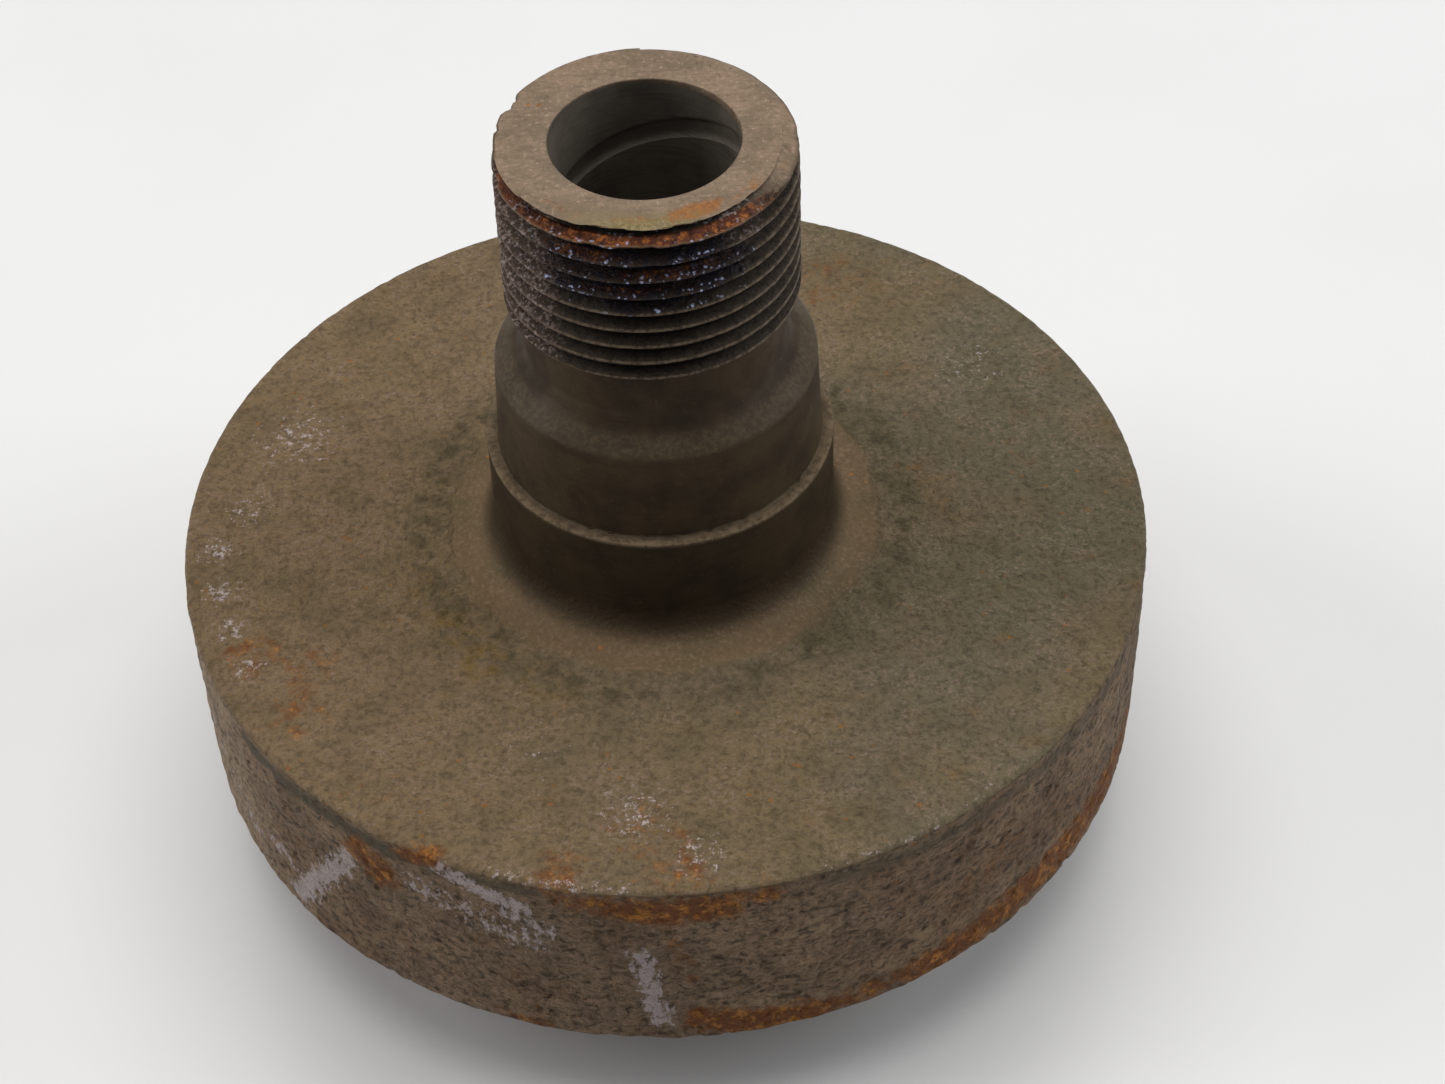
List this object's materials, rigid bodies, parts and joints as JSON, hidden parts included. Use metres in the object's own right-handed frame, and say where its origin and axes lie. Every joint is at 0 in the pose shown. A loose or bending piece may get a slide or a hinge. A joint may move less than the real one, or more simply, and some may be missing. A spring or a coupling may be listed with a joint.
{
  "type": "concentric reducer",
  "caption": "Stepped steel adapter that reduces a large round end on a heavy disc to a small bored male taper thread on one axis, with turned seats between.",
  "frame": {"origin": "centre of the large end's rim, on which the part stands", "axes": "+Z along the common axis, towards the small threaded end; the part is round, so +X and +Y are equal apart from where the thread and the spiral groove start"},
  "size_m": [0.1142, 0.1142, 0.0972],
  "materials": {
    "cast_steel": "rough as cast, evenly rusted olive brown, with orange rust and pale scuffs on the rim",
    "pipe_steel": "rusted pipe wall",
    "weld_metal": "dressed weld, dull brown",
    "turned_steel": "turned, aged dark brown, oily on the thread",
    "collar_steel": "smooth turned, dark brown, bright worn edge",
    "bush_steel": "bored, dark grey"
  },
  "bodies": {
    "root": {"flange_body": "cast_steel", "large_end_spigot": "pipe_steel", "spigot_weld": "weld_metal", "threaded_stem": "turned_steel", "seat_collar": "collar_steel", "base_weld": "weld_metal", "root_weld": "weld_metal", "bore_bush": "bush_steel"}
  },
  "joints": []
}
